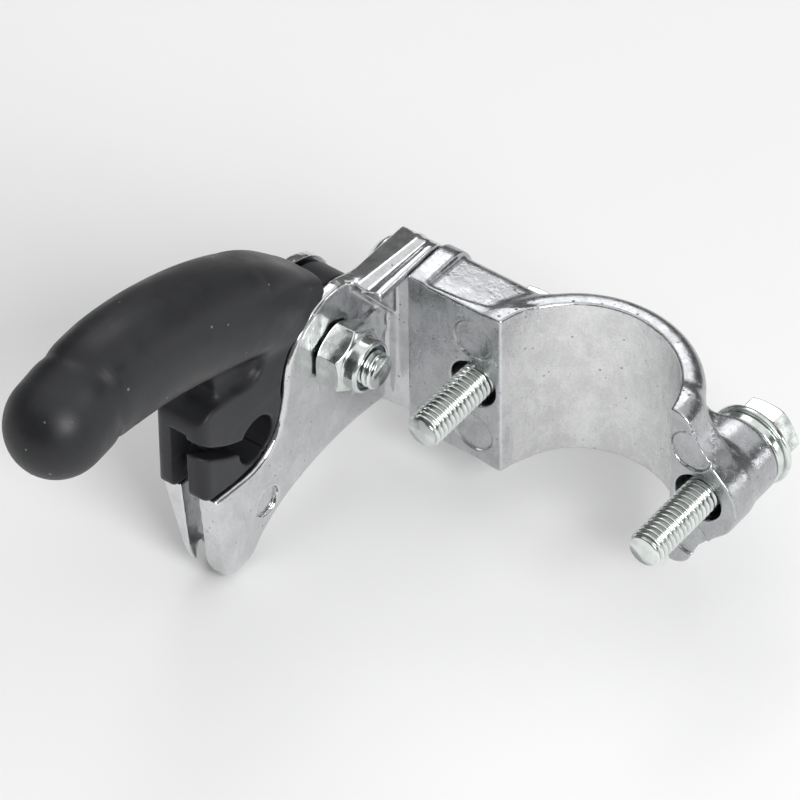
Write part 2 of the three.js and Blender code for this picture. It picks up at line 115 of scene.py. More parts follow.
SADDLE_SCREW_HOLE = 2.55
PERCH_SCREW_HOLE = 2.7
SCREW_HEAD_RADIUS = 4.4
SCREW_HEAD_DOME = 5.4
SCREW_RING_OUTER = 4.9

SADDLE_MARKS = ((-20.95, 9.25), (-20.95, -10.0), (19.6, 9.0), (19.6, -9.0))  # X and Z
SADDLE_MARK_RADIUS = 3.6
NOSE_MARK = (-28.7, -12.7)  # Y and Z
NOSE_MARK_RADIUS = 2.7
MARK_RIM_WIDTH = 0.3

CURVE_STEPS = 10
ARC_STEPS = 24
SMOOTH = {"interpolation_type": "SMOOTHSTEP"}


# ---- Distance fields ----------------------------------------------------------------------------
# A field takes p, the three coordinate arrays, and is negative inside its solid.
def capped(across, along):
    """Joins the distances across and along a straight solid into the distance to the solid."""
    outside = np.hypot(np.maximum(across, 0), np.maximum(along, 0))
    return outside + np.minimum(np.maximum(across, along), 0)


def block(p, xs, ys, zs, r=0.0):
    """A box between limits, with its edges rounded to r."""
    spans = (xs, ys, zs)
    q = [abs(v - (a + b) / 2) - ((b - a) / 2 - r) for v, (a, b) in zip(p, spans)]
    outside = np.sqrt(sum(np.maximum(side, 0) ** 2 for side in q))
    return outside + np.minimum(np.maximum(np.maximum(q[X], q[Y]), q[Z]), 0) - r


def rod(p, axis, radius, span, centre, r=0.0):
    """A cylinder along an axis. centre holds its other two coordinates in X, Y, Z order."""
    u, v = [p[i] for i in range(3) if i != axis]
    across = np.hypot(u - centre[0], v - centre[1]) - (radius - r)
    along = abs(p[axis] - (span[0] + span[1]) / 2) - ((span[1] - span[0]) / 2 - r)
    return capped(across, along) - r


def outline(*steps):
    """Points of a closed outline: a corner has 2 numbers, a curve has its control and end, and an
    arc has its centre, radius and two angles."""
    points = []
    for step in steps:
        if len(step) == 2:
            points.append(step)
        elif len(step) == 4:
            (au, av), (bu, bv, cu, cv) = points[-1], step
            for t in np.linspace(0, 1, CURVE_STEPS + 1)[1:]:
                first, pull, last = (1 - t) * (1 - t), 2 * (1 - t) * t, t * t
                u = first * au + pull * bu + last * cu
                v = first * av + pull * bv + last * cv
                points.append((u, v))
        else:
            cu, cv, radius, start, end = step
            for angle in np.linspace(start, end, ARC_STEPS + 1):
                points.append((cu + radius * math.cos(angle), cv + radius * math.sin(angle)))
    return points


def within(u, v, points):
    """Distance to a closed outline, negative inside it."""
    shape = np.broadcast(u, v).shape
    nearest = np.full(shape, np.inf)
    inside = np.zeros(shape, bool)
    for (au, av), (bu, bv) in zip(points, points[1:] + points[:1]):
        eu, ev = bu - au, bv - av
        length = eu * eu + ev * ev
        if length < 1e-12:
            continue
        t = np.clip(((u - au) * eu + (v - av) * ev) / length, 0, 1)
        nearest = np.minimum(nearest, (u - au - eu * t) ** 2 + (v - av - ev * t) ** 2)
        if abs(ev) > 1e-12:
            inside ^= ((av > v) != (bv > v)) & (u < au + eu * (v - av) / ev)
    return np.where(inside, -1.0, 1.0) * np.sqrt(nearest)


def slab(p, axis, points, span, r=0.0):
    """An outline in the other two coordinates, in X, Y, Z order, with thickness along an axis."""
    u, v = [p[i] for i in range(3) if i != axis]
    along = abs(p[axis] - (span[0] + span[1]) / 2) - ((span[1] - span[0]) / 2 - r)
    return capped(within(u, v, points) + r, along) - r


def blend(a, b, k):
    """Union with a fillet about k wide."""
    h = np.clip(0.5 + 0.5 * (b - a) / k, 0, 1)
    return b + (a - b) * h - k * h * (1 - h)


def carve(a, b, k=0.2):
    """a without b, with the edge broken by about k."""
    return -blend(-a, b, k)


def common(a, b, k=0.2):
    """Where a and b overlap, with the edge broken by about k."""
    return -blend(-a, -b, k)


def hexagonal(p, axis, across, span, centre, r=0.15, turned=False):
    """A hexagon along an axis. turned points its corners along the other coordinate."""
    u, v = [p[i] for i in range(3) if i != axis]
    u, v = abs(u - centre[0]), abs(v - centre[1])
    if turned:
        u, v = v, u
    flats = np.maximum(v, v * 0.5 + u * math.sqrt(0.75)) - across / 2
    along = abs(p[axis] - (span[0] + span[1]) / 2) - ((span[1] - span[0]) / 2 - r)
    return capped(flats + r, along) - r


# ---- From field to mesh -------------------------------------------------------------------------
def surface_net(field, low, high, step):
    """Points and four-sided faces of the surface where a field is zero."""
    axes = [np.arange(a, b + step, step) for a, b in zip(low, high)]
    grid = np.meshgrid(*axes, indexing="ij", sparse=True)
    values = np.ascontiguousarray(np.broadcast_to(field(grid), [len(a) for a in axes]))
    inside = values < 0
    nx, ny, nz = (n - 1 for n in values.shape)
    count = np.zeros((nx, ny, nz), np.int8)
    for i, j, k in np.ndindex(2, 2, 2):
        count += inside[i : i + nx, j : j + ny, k : k + nz]
    mixed = (count > 0) & (count < 8)
    cells = np.argwhere(mixed)
    ids = np.full(mixed.shape, -1)
    ids[mixed] = np.arange(len(cells))
    total = np.zeros((len(cells), 3))
    hits = np.zeros(len(cells))
    for axis in range(3):
        for i, j in np.ndindex(2, 2):
            start = np.insert([i, j], axis, 0)
            end = np.insert([i, j], axis, 1)
            va = values[tuple((cells + start).T)]
            vb = values[tuple((cells + end).T)]
            crossed = (va < 0) != (vb < 0)
            t = va[crossed] / (va[crossed] - vb[crossed])
            total[crossed] += start + t[:, None] * (end - start)
            hits[crossed] += 1
    points = np.array(low) + (cells + total / hits[:, None]) * step
    faces = []
    for axis in range(3):
        one, two = (axis + 1) % 3, (axis + 2) % 3
        here = np.take(inside, range(values.shape[axis] - 1), axis)
        there = np.take(inside, range(1, values.shape[axis]), axis)
        edges = np.argwhere(here != there)
        limit = np.array(mixed.shape)
        keep = np.all([(edges[:, a] > 0) & (edges[:, a] < limit[a]) for a in (one, two)], axis=0)
        edges = edges[keep]
        corners = []
        for du, dv in ((0, 0), (1, 0), (1, 1), (0, 1)):
            shift = np.zeros(3, int)
            shift[one], shift[two] = du, dv
            corners.append(ids[tuple((edges - shift).T)])
        quads = np.stack(corners, 1)
        leaves = inside[tuple(edges.T)]
        quads[~leaves] = quads[~leaves][:, ::-1]
        faces.append(quads)
    return points, np.concatenate(faces)


def measured(field, points):
    """The field's value at each point."""
    return field(tuple(points.T))


def slope(field, points, value, reach=0.01):
    """The field's gradient at each point, from its value there."""
    offsets = np.eye(3) * reach
    return np.stack([measured(field, points + offset) - value for offset in offsets], 1) / reach


def settle(field, points, step):
    """Moves the net's points onto the surface itself."""
    for _ in range(2):
        value = measured(field, points)
        gradient = slope(field, points, value)
        size = np.maximum((gradient**2).sum(1), 0.25)
        points = points - np.clip(gradient * (value / size)[:, None], -step / 2, step / 2)
    return points


def sharpness(field, points, reach):
    """How far the surface bends away round each point: above 0 on edges, below in corners."""
    normal = slope(field, points, measured(field, points))
    normal /= np.maximum(np.linalg.norm(normal, axis=1), 1e-6)[:, None]
    helper = np.where(abs(normal[:, :1]) < 0.7, [[1.0, 0, 0]], [[0, 1.0, 0]])
    one = np.cross(normal, helper)
    one /= np.linalg.norm(one, axis=1)[:, None]
    two = np.cross(normal, one)
    around = sum(measured(field, points + side * reach) for side in (one, -one, two, -two))
    return around / (4 * reach)


def mesh_of(name, points, faces):
    """A smooth mesh of points in millimetres."""
    mesh = bpy.data.meshes.new(name)
    mesh.vertices.add(len(points))
    mesh.vertices.foreach_set("co", (np.asarray(points, float) * MM).ravel())
    mesh.loops.add(faces.size)
    mesh.loops.foreach_set("vertex_index", faces.ravel())
    mesh.polygons.add(len(faces))
    mesh.polygons.foreach_set("loop_start", np.arange(0, faces.size, faces.shape[1]))
    mesh.update(calc_edges=True)
    mesh.validate()
    mesh.shade_smooth()
    return mesh


def cast_mesh(name, field, low, high, step, reach=0.6):
    """A mesh of a field, with how much each point stands out in its attribute called edge."""
    points, faces = surface_net(field, low, high, step)
    points = settle(field, points, step)
    mesh = mesh_of(name, points, faces)
    edge = mesh.attributes.new("edge", "FLOAT", "POINT")
    edge.data.foreach_set("value", sharpness(field, points, reach).astype(np.float32))
    return mesh


def piece(name, mesh, body, slot, material, *nodes):
    """A finished piece that rides on a body and stands for CAD nodes."""
    made = bpy.data.objects.new(name, mesh)
    bpy.context.scene.collection.objects.link(made)
    if not mesh.materials:
        mesh.materials.append(material)
    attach(made, body)
    if nodes:
        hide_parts(*nodes)
    return made


def joined(name, *meshes):
    """One mesh out of several, which it uses up."""
    parts = []
    for mesh in meshes:
        part = bpy.data.objects.new(name, mesh)
        bpy.context.scene.collection.objects.link(part)
        parts.append(part)
    with bpy.context.temp_override(active_object=parts[0], selected_editable_objects=parts):
        bpy.ops.object.join()
    mesh = parts[0].data
    bpy.data.objects.remove(parts[0])
    mesh.name = name
    return mesh


# ---- Materials ----------------------------------------------------------------------------------
class Signal:
    """A number socket that takes part in Python sums."""

    def __init__(self, shader, socket):
        self.shader = shader
        self.socket = socket

    def math(self, operation, *values):
        inputs = dict(enumerate(values))
        return self.shader.value("ShaderNodeMath", {"operation": operation}, inputs)

    def __add__(self, other):
        return self.math("ADD", self, other)

    __radd__ = __add__

    def __mul__(self, other):
        return self.math("MULTIPLY", self, other)

    __rmul__ = __mul__

    def __sub__(self, other):
        return self.math("SUBTRACT", self, other)

    def __rsub__(self, other):
        return self.math("SUBTRACT", other, self)

    def __pow__(self, other):
        return self.math("POWER", self, other)

    def __rpow__(self, other):
        return self.math("POWER", other, self)

    def span(self, low, high, to_low=0.0, to_high=1.0):
        """Maps low to high onto another span, and keeps to that span."""
        spans = {"From Min": low, "From Max": high, "To Min": to_low, "To Max": to_high}
        return self.shader.value("ShaderNodeMapRange", SMOOTH, {"Value": self, **spans}, "Result")


class Shader:
    """A material on one Principled shader, whose patterns use Object coordinates."""

    def __init__(self, name, **uniform):
        self.material = bpy.data.materials.new(name)
        self.material.use_nodes = True
        self.tree = self.material.node_tree
        self.surface = self.tree.nodes["Principled BSDF"]
        for socket, value in uniform.items():
            self.surface.inputs[socket.replace("_", " ")].default_value = value
        self.place = self.node("ShaderNodeTexCoord", {}, {}).outputs["Object"]

    def node(self, kind, settings, inputs):
        made = self.tree.nodes.new(kind)
        for name, value in settings.items():
            setattr(made, name, value)
        for name, value in inputs.items():
            value = getattr(value, "socket", value)
            if isinstance(value, bpy.types.NodeSocket):
                self.tree.links.new(value, made.inputs[name])
            else:
                made.inputs[name].default_value = value
        return made

    def value(self, kind, settings, inputs, output=0):
        return Signal(self, self.node(kind, settings, inputs).outputs[output])

    def noise(self, per_mm, detail=3.0, roughness=0.55, stretch=(1, 1, 1)):
        turned = self.node("ShaderNodeMapping", {}, {"Vector": self.place, "Scale": stretch})
        inputs = {"Vector": turned.outputs[0], "Scale": per_mm / MM}
        inputs.update({"Detail": detail, "Roughness": roughness})
        return self.value("ShaderNodeTexNoise", {}, inputs, "Fac")

    def cells(self, per_mm, output="Distance"):
        inputs = {"Vector": self.place, "Scale": per_mm / MM}
        return self.value("ShaderNodeTexVoronoi", {}, inputs, output)

    def bore(self):
        """1 on the tube's bore, 0 elsewhere."""
        split = self.node("ShaderNodeSeparateXYZ", {}, {"Vector": self.place})
        x, y = (Signal(self, split.outputs[i]) for i in (X, Y))
        across = (x * x + (y - TUBE_CENTRE_Y * MM) ** 2) ** 0.5
        return across.span((TUBE_RADIUS + 0.3) * MM, (TUBE_RADIUS + 0.1) * MM)

    def edge(self):
        return self.value("ShaderNodeAttribute", {"attribute_name": "edge"}, {}, "Fac")

    def mix(self, factor, one, two):
        inputs = {"Factor": factor, "A": one, "B": two}
        return self.node("ShaderNodeMix", {"data_type": "RGBA"}, inputs).outputs["Result"]

    def drive(self, socket, value):
        self.tree.links.new(getattr(value, "socket", value), self.surface.inputs[socket])

    def bump(self, height, distance_mm):
        inputs = {"Height": height, "Distance": distance_mm * MM, "Strength": 1.0}
        self.drive("Normal", self.node("ShaderNodeBump", {}, inputs).outputs[0])


def shade(colour, factor):
    """A colour made darker or paler by a factor, with its alpha."""
    return tuple(min(channel * factor, 1.0) for channel in colour[:3]) + (1.0,)


def cast_metal(name, colour, rough, mottling, grain, bored=None):
    """Die-cast and tumbled metal: soft mottling, fine grain, small pits, edges rubbed bright and
    painted shade in creases and corners.
    bored is the colour of the tube's bore, on a casting that has one."""
    s = Shader(name, Metallic=1.0)
    patches = s.noise(0.16, 4.0, 0.65)
    flow = s.noise(0.5, 4.0, 0.65, (1.0, 1.0, 0.35))
    fine = s.noise(2.2, 3.0, 0.65)
    brighter_edges = s.edge().span(0.05, 0.4)
    # painted shade: creases and corners, where the edge value is below 0, get a darker base colour
    painted_crease_shade = s.edge().span(-0.04, -0.3)
    pits = s.cells(0.75).span(0.2, 0.07) * s.noise(0.3, 1.0).span(0.5, 0.6)
    tone = patches.span(0.38, 0.62) * 0.45 + flow.span(0.38, 0.62) * 0.25
    tone += fine.span(0.35, 0.65) * 0.3
    base = s.mix(tone, shade(colour, 1.0 - mottling), shade(colour, 1.0 + mottling * 0.5))
    if bored:
        base = s.mix(s.bore(), base, s.mix(tone, shade(bored, 0.82), shade(bored, 1.1)))
    # painted shade darkens the base colour in creases and corners
    base = s.mix(painted_crease_shade * 0.5, base, shade(colour, 0.42))
    base = s.mix(pits * 0.6, base, shade(colour, 0.4))
    base = s.mix(brighter_edges * 0.8, base, shade(colour, 1.25))
    s.drive("Base Color", base)
    spread = flow.span(0.3, 0.7, -0.06, 0.07) + patches.span(0.3, 0.7, -0.05, 0.05)
    s.drive("Roughness", rough + spread - brighter_edges * 0.12 + pits * 0.2)
    s.bump(fine * 0.5 + flow * 1.2 + patches * 2.0 - pits * 1.5, grain)
    return s.material


def plated_steel(name, colour, rough):
    """Bright zinc plate: faint cloudy tint, fine scratches, painted shade in hollows and thread
    roots, and brighter edges: rubbed on heads and nuts, a painted highlight on thread crests.
    """
    s = Shader(name, Metallic=1.0)
    cloud = s.noise(0.45, 3.0)
    scratch = s.noise(5.0, 2.0, 0.6, (1.0, 0.12, 1.0))
    # brighter edges: rubbed wear on heads and nuts, and a painted highlight on the thread crests
    brighter_edges = s.edge().span(0.08, 0.45)
    base = s.mix(cloud.span(0.35, 0.65), shade(colour, 0.86), shade(colour, 1.08))
    # painted shade: darker base colour in hollows, corners and thread roots
    base = s.mix(s.edge().span(-0.05, -0.35) * 0.6, base, shade(colour, 0.4))
    base = s.mix(brighter_edges * 0.7, base, shade(colour, 1.22))
    s.drive("Base Color", base)
    s.drive("Roughness", rough + cloud.span(0.3, 0.7, -0.04, 0.07) + scratch.span(0.5, 0.8) * 0.1)
    s.bump(scratch * 0.5 + cloud, 0.012)
    return s.material


def moulded_black(name, colour):
    """Satin moulded plastic: fine spark-eroded grain, uneven sheen and a few specks of dust."""
    s = Shader(name, Metallic=0.0, IOR=1.42)
    grain = s.noise(4.2, 2.0, 0.6)
    sheen = s.noise(0.12, 3.0)
    cell_colour = {"Color": s.cells(0.62, "Color")}
    few = s.value("ShaderNodeSeparateColor", {}, cell_colour).span(0.86, 0.93)
    specks = s.cells(0.62).span(0.17, 0.09) * few
    base = s.mix(sheen.span(0.3, 0.7), shade(colour, 0.8), shade(colour, 1.35))
    base = s.mix(specks * 0.6, base, (0.3, 0.31, 0.33, 1.0))
    base = s.mix(s.edge().span(0.1, 0.5) * 0.5, base, shade(colour, 2.4))
    s.drive("Base Color", base)
    spread = 0.44 + sheen.span(0.3, 0.7, -0.07, 0.08)
    s.drive("Roughness", spread + grain.span(0.3, 0.7, -0.03, 0.03))
    s.bump(grain * 0.6 + sheen * 3.0 + specks, 0.012)
    return s.material


def moulded_nylon(name, colour):
    """Slightly cloudy moulded nylon."""
    s = Shader(name, Metallic=0.0)
    cloud = s.noise(1.2, 3.0)
    s.drive("Base Color", s.mix(cloud.span(0.3, 0.7), shade(colour, 0.8), shade(colour, 1.2)))
    s.drive("Roughness", cloud.span(0.3, 0.7, 0.4, 0.6))
    s.bump(cloud, 0.02)
    return s.material


# ---- Threads ------------------------------------------------------------------------------------
THREAD_ROWS = 11  # rows of points to a turn
THREAD_INPUTS = {
    "Radius": ("NodeSocketFloat", M6_RADIUS * MM),
    "Length": ("NodeSocketFloat", 20 * MM),
    "Pitch": ("NodeSocketFloat", 1.0 * MM),
    "Depth": ("NodeSocketFloat", 0.45 * MM),
    "Chamfer": ("NodeSocketFloat", 0.5 * MM),
    "Rows": ("NodeSocketInt", 200),
    "Sides": ("NodeSocketInt", 60),
    "Material": ("NodeSocketMaterial", None),
}


class FieldTree:
    """A Geometry Nodes tree with named inputs."""

    def __init__(self, name, inputs):
        self.tree = bpy.data.node_groups.new(name, "GeometryNodeTree")
        face = self.tree.interface
        face.new_socket(name="Geometry", in_out="OUTPUT", socket_type="NodeSocketGeometry")
        for label, (kind, default) in inputs.items():
            socket = face.new_socket(name=label, in_out="INPUT", socket_type=kind)
            if default is not None:
                socket.default_value = default
        self.given = self.tree.nodes.new("NodeGroupInput").outputs

    def node(self, kind, settings=None, inputs=None, output=0):
        made = self.tree.nodes.new(kind)
        for name, value in (settings or {}).items():
            setattr(made, name, value)
        for name, value in (inputs or {}).items():
            if isinstance(value, bpy.types.NodeSocket):
                self.tree.links.new(value, made.inputs[name])
            else:
                made.inputs[name].default_value = value
        return made.outputs[output]

    def sum(self, operation, *values):
        return self.node("ShaderNodeMath", {"operation": operation}, dict(enumerate(values)))

    def finish(self, geometry, material):
        real = self.node("GeometryNodeRealizeInstances", {}, {"Geometry": geometry})
        painted = self.node("GeometryNodeSetMaterial", {}, {"Geometry": real, "Material": material})
        out = self.tree.nodes.new("NodeGroupOutput")
        self.tree.links.new(painted, out.inputs["Geometry"])


def thread_tree():
    """A threaded rod along Z, centred on the origin, with both ends chamfered."""
    t = FieldTree("Threaded rod", THREAD_INPUTS)
    given = t.given
    rod_inputs = {
        "Vertices": given["Sides"],
        "Side Segments": given["Rows"],
        "Radius": given["Radius"],
        "Depth": given["Length"],
    }
    rod_mesh = t.node("GeometryNodeMeshCylinder", {"fill_type": "TRIANGLE_FAN"}, rod_inputs, "Mesh")
    place = t.node("GeometryNodeInputPosition")
    split = t.tree.nodes.new("ShaderNodeSeparateXYZ")
    t.tree.links.new(place, split.inputs[0])
    turn = t.sum("DIVIDE", t.sum("ARCTAN2", split.outputs[1], split.outputs[0]), 2 * math.pi)
    turns = t.sum("DIVIDE", split.outputs[2], given["Pitch"])
    phase = t.sum("FRACT", t.sum("SUBTRACT", turns, turn))
    ramp = t.sum("ABSOLUTE", t.sum("SUBTRACT", t.sum("MULTIPLY", phase, 2.0), 1.0))
    flat_ends = {"Value": ramp, "From Min": 0.08, "From Max": 0.92}
    flank = t.node("ShaderNodeMapRange", SMOOTH, flat_ends, "Result")
    drop = t.sum("MULTIPLY", t.sum("SUBTRACT", 1.0, flank), given["Depth"])
    crest = t.sum("SUBTRACT", given["Radius"], drop)
    half_length = t.sum("MULTIPLY", given["Length"], 0.5)
    to_end = t.sum("SUBTRACT", half_length, t.sum("ABSOLUTE", split.outputs[2]))
    edge = t.sum("ADD", t.sum("SUBTRACT", given["Radius"], given["Chamfer"]), to_end)
    radius = t.sum("MINIMUM", crest, edge)
    scale = t.sum("DIVIDE", radius, given["Radius"])
    factors = t.node("ShaderNodeCombineXYZ", {}, {"X": scale, "Y": scale, "Z": 1.0})
    moved = t.node("ShaderNodeVectorMath", {"operation": "MULTIPLY"}, {0: place, 1: factors})
    shaped = t.node("GeometryNodeSetPosition", {}, {"Geometry": rod_mesh, "Position": moved})
    smooth = t.node("GeometryNodeSetShadeSmooth", {}, {"Geometry": shaped, "Shade Smooth": True})
    # Painted light: the edge value is below 0 in the thread roots and above 0 on the crests, so the
    # material paints shade into the roots and a highlight on the crests.
    painted_root_shade_crest_highlight = {"Value": flank, "To Min": -0.4, "To Max": 0.4}
    painted_root_shade_crest_highlight = t.node("ShaderNodeMapRange", {}, painted_root_shade_crest_highlight, "Result")
    stored = {"Geometry": smooth, "Name": "edge", "Value": painted_root_shade_crest_highlight}
    on_points = {"data_type": "FLOAT", "domain": "POINT"}
    marked = t.node("GeometryNodeStoreNamedAttribute", on_points, stored)
    t.finish(marked, given["Material"])
    return t.tree


def threaded_mesh(name, axis, span, centre, material):
    """A threaded M6 rod along an axis, in millimetres, as a plain mesh."""
    sizes = bpy.context.scene.hand_lever_sizes
    length = (span[1] - span[0]) * MM
    tree = bpy.data.node_groups.get("Threaded rod") or thread_tree()
    holder = bpy.data.objects.new(name, bpy.data.meshes.new(name))
    bpy.context.scene.collection.objects.link(holder)
    modifier = holder.modifiers.new("Thread", "NODES")
    modifier.node_group = tree
    wanted = {
        "Length": length,
        "Pitch": sizes.thread_pitch,
        "Depth": sizes.thread_depth,
        "Rows": round(length / sizes.thread_pitch * THREAD_ROWS),
        "Material": material,
    }
    for item in tree.interface.items_tree:
        if item.in_out == "INPUT" and item.name in wanted:
            modifier[item.identifier] = wanted[item.name]
    holder.update_tag()
    bpy.context.view_layer.update()
    done = holder.evaluated_get(bpy.context.evaluated_depsgraph_get())
    mesh = bpy.data.meshes.new_from_object(done)
    bpy.data.objects.remove(holder)
    middle = np.insert(np.array(centre, float), axis, (span[0] + span[1]) / 2) * MM
    if axis == X:
        turned = Matrix.Rotation(math.pi / 2, 4, "Y")
    else:
        turned = Matrix.Rotation(-math.pi / 2, 4, "X")
    mesh.transform(Matrix.Translation(Vector(middle)) @ turned)
    return mesh


# ---- Saddle -------------------------------------------------------------------------------------
def saddle_field(p):
    y, z = p[Y], p[Z]
    high = RING_HALF_HEIGHT
    ring = rod(p, Z, RING_OUTER, (-high, high), (0, TUBE_CENTRE_Y), 2.3)
    rim = rounded_back(p, (LUG_END_X, LUG_END_X + 3.3), 16.0, 0.35)
    web = rounded_back(p, (LUG_END_X + 1.5, -12.0), 14.95, 0.5)
    ledge = [(-31, 0), (-31, 0.5), (-24, 1.1), (-19, 2.2), (-15.5, 4.4), (-13, 6), (-12, 0)]
    front = slab(p, Z, ledge, (-high - 0.25, high + 0.25), 0.35)
    web = common(web, (z - 15.05 + 0.09 * (y - 1.5)) * 0.99, 0.25)
    left = blend(blend(web, rim, 0.9), front, 0.9)
    flare = slab(p, Y, right_lug_outline(), (-3, 5.6), 1.1)
    boss = rod(p, Y, BOSS_RADIUS, (-3, BOSS_DEPTH), (BOLT_X - 0.4, 0), 0.7)
    bridge = block(p, (12, BOLT_X - 1), (-3, BOSS_DEPTH), (-6.1, 6.1), 1.2)
    right = blend(flare, blend(boss, bridge, 1.2), 2.2)
    body = blend(blend(ring, left, 1.6), right, 2.0)
    body = common(body, -y, 0.3)
    body = carve(body, rod(p, Z, TUBE_RADIUS, (-30, 30), (0, TUBE_CENTRE_Y)), 0.45)
    for side in (-BOLT_X, BOLT_X):
        body = carve(body, rod(p, Y, BOLT_HOLE, (-5, 25), (side, 0)), 0.35)
    for place in SADDLE_MARKS:
        body = ejector_mark(body, p, place)
    for side in (-PERCH_SCREW_Z, PERCH_SCREW_Z):
        hole = rod(p, X, SADDLE_SCREW_HOLE, (LUG_END_X - 2, -24.9), (PERCH_SCREW_Y, side))
        body = carve(body, hole, 0.1)
    return body


def rounded_back(p, xs, half, r):
    """The left lug's section between two X limits, with its two back corners rounded."""
    corner = 5.0
    back = LUG_DEPTH - corner
    points = outline(
        (-4, -half),
        (back, -half + corner, corner, -math.pi / 2, 0),
        (back, half - corner, corner, 0, math.pi / 2),
        (-4, half),
    )
    return slab(p, X, points, xs, r)


def right_lug_outline():
    """The right lug seen along the bolt: wide at the ring, round at its end."""
    high = RING_HALF_HEIGHT
    start = -0.85
    return outline(
        (10, -high),
        (16.8, -high),
        (19.6, -12, 23.4, -7.4),
        (BOLT_X - 0.8, 0, 7.1, start, -start),
        (23.4, 7.4),
        (19.6, 12, 16.8, high),
        (10, high),
    )


def ejector_mark(body, p, place):
    """The shallow round print of an ejector pin on the split plane, with a faint raised rim."""
    x, y, z = p
    off = abs(np.hypot(x - place[0], z - place[1]) - (SADDLE_MARK_RADIUS + 0.1))
    raised = body - 0.2 * np.exp(-((off / MARK_RIM_WIDTH) ** 2)) * (abs(y) < 1)
    return carve(raised, rod(p, Y, SADDLE_MARK_RADIUS, (-2, 0.3), place, 0.05), 0.06)


# ---- Perch --------------------------------------------------------------------------------------
def fork_outline():
    """The fork seen along the pivot: eye, arm and cable nose."""
    eye = PIVOT[0] - EYE_RADIUS
    return outline(
        (3.8, PLATE_Z[0]),
        (-9, -11.8, -20, -14.6),
        (-26.8, -16.4, -30, -20.2),
        (-31.9, -24.7, -34.8, -24.3),
        (-38.8, -23.2, -39.6, -17.6),
        (-41, -3.4),
        (-33, -4.3),
        (-24.6, -4.6, eye, PIVOT[1]),
        (*PIVOT, EYE_RADIUS, math.pi, 0),
        (3.8, 0),
    )


def nose_taper():
    """The fork seen from the tube: it narrows towards the nose."""
    far, near = FORK_FAR_X, FORK_NEAR_X
    return outline(
        (far - 0.1, 40),
        (far - 0.1, -3),
        (far + 1.6, -13),
        (far + 2.9, -20),
        (far + 3.2, -24.4, far + 5.6, -24.6),
        (near - 3.4, -24.6),
        (near - 0.9, -24.4, near - 0.6, -19.6),
        (near + 0.1, -12),
        (near + 0.1, 40),
    )


def plate_outline(gusset):
    """The plate against the saddle, with its lip held by a gusset or bare."""
    corner = 4.5
    back = PLATE_Y[1] - corner
    under = PLATE_Z[1] - 1.8
    steps = [
        (PLATE_Y[0], PLATE_Z[0]),
        (back, PLATE_Z[0] + corner, corner, -math.pi / 2, 0),
        (back, PLATE_Z[1] - corner, corner, 0, math.pi / 2),
        (LIP_Y, PLATE_Z[1]),
        (LIP_Y + 0.3, under),
        (-1.5, 8.5, PLATE_Y[0], 4.5) if gusset else (PLATE_Y[0], under),
    ]
    return outline(*steps)


def arm_top(x, y):
    """Height of the arm's top: a ridge, a slope to its far side and a channel to its near side."""
    ridge = -36.6 - (5.7 - y) * 0.0935
    slope_down = 0.3 * np.maximum(ridge - x, 0)
    across = np.clip((x - ridge) / (-34.0 - ridge), 0, 1)
    return PLATE_Z[1] - slope_down - 0.5 * np.sin(math.pi * across) ** 2


def perch_field(p):
    x, y, z = p
    near, far = FORK_NEAR_X, FORK_FAR_X
    fork = slab(p, X, fork_outline(), (far, near), 0.85)
    fork = common(fork, within(x, z, nose_taper()), 1.4)
    web = common(rod(p, X, 13.8, (far + 0.8, near), PIVOT, 0.5), z - (PIVOT[1] + 0.7), 0.4)
    web = common(web, -(y + 6.5), 0.2)
    fork = blend(fork, web, 0.6)
    fork = carve(fork, block(p, (-60, PLATE_X[0] - 0.02), (1.2, 30), (-40, 40)), 0.5)
    thick = slab(p, X, plate_outline(True), (PLATE_X[0], -36.8), 0.45)
    thin = slab(p, X, plate_outline(False), (-37.4, PLATE_X[1]), 0.35)
    flare_points = [(-39, 3), (-40.6, 1), (-40.9, -3), (-41.7, LIP_Y), (-39, LIP_Y)]
    flare = slab(p, Z, flare_points, (PLATE_Z[1] - 0.5, PLATE_Z[1]), 0.2)
    plate = blend(blend(thick, thin, 0.9), flare, 0.6)
    plate = common(plate, (z - arm_top(x, y)) * 0.9, 0.25)
    body = blend(fork, plate, 1.3)
    slot_z = (PIVOT[1] - 7, PIVOT[1] + 14)
    body = carve(body, rod(p, X, HUB_RADIUS + 0.4, SLOT, PIVOT), 0.3)
    body = carve(body, block(p, SLOT, (-60, PIVOT[0] - 5), slot_z), 0.3)
    body = carve(body, block(p, SLOT, (-60, PLATE_Y[0]), (PIVOT[1] + 1, 40)), 0.3)
    cable_slit = block(p, (FORK_MID_X - 1.6, FORK_MID_X + 1.6), (-60, -35.6), (-40, 0))
    body = carve(body, cable_slit, 0.35)
    ferrule = rod(p, Z, 2.6, (-30, -18.8), (FORK_MID_X, -35.6), 0.3)
    body = carve(body, ferrule, 0.3)
    body = carve(body, rod(p, X, M6_RADIUS + 0.15, (far - 1, near + 1), PIVOT), 0.1)
    off = np.hypot(y - NOSE_MARK[0], z - NOSE_MARK[1]) - (NOSE_MARK_RADIUS + 0.2)
    body = body - 0.18 * np.exp(-((off / MARK_RIM_WIDTH) ** 2)) * (x > near - 1)
    mark = rod(p, X, NOSE_MARK_RADIUS, (near - 0.85, near + 3), NOSE_MARK, 0.05)
    body = carve(body, mark, 0.06)
    for side in (-PERCH_SCREW_Z, PERCH_SCREW_Z):
        hole = rod(p, X, PERCH_SCREW_HOLE, (-42, -32), (PERCH_SCREW_Y, side))
        body = carve(body, hole, 0.1)
    return body


# ---- Lever --------------------------------------------------------------------------------------
# Y, Z, half height and half width of the grip from its root to the middle of its ball end.
GRIP = np.array(
    [
        (-13, 15.2, 4.8, 4.8),
        (-18, 19.3, 5.5, 5.6),
        (-23, 22.3, 6.9, 6.6),
        (-30, 26.1, 8.1, 7.3),
        (-38, 29.5, 8.7, 7.6),
        (-46, 32.3, 8.9, 7.6),
        (-54, 34.2, 9, 7.6),
        (-62, 35, 8.8, 7.6),
        (-70.6, 33.9, 8.4, 8),
    ]
)


